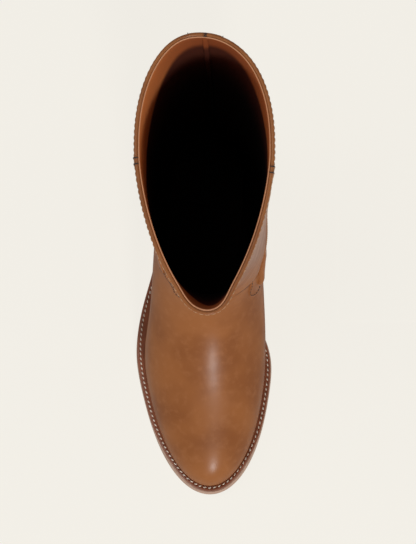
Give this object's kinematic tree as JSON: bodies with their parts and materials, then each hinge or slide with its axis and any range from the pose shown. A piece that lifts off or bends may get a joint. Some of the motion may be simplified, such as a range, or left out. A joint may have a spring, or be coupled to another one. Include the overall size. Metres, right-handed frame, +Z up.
{
  "type": "knee-high boot",
  "caption": "Empty pull-on knee-high leather boot for the right foot, plain almond toe, stitched welt and low block heel, standing on its sole.",
  "frame": {"origin": "centre of the heel's flat ground face", "axes": "+Z up from the floor to the collar, the toe towards -Y, +X towards the inner side of the foot"},
  "size_m": [0.1034, 0.291, 0.405],
  "materials": {
    "upper_leather": "smooth tan calf, soft sheen",
    "insole_leather": "matt",
    "welt_leather": "stained and waxed edge",
    "outsole_leather": "matt edge",
    "heel_leather": "stained stack",
    "heel_rubber": "matt"
  },
  "bodies": {
    "root": {"upper": "upper_leather", "insole": "insole_leather", "welt": "welt_leather", "outsole": "outsole_leather", "heel": "heel_leather", "heel_top_piece": "heel_rubber"}
  },
  "joints": []
}
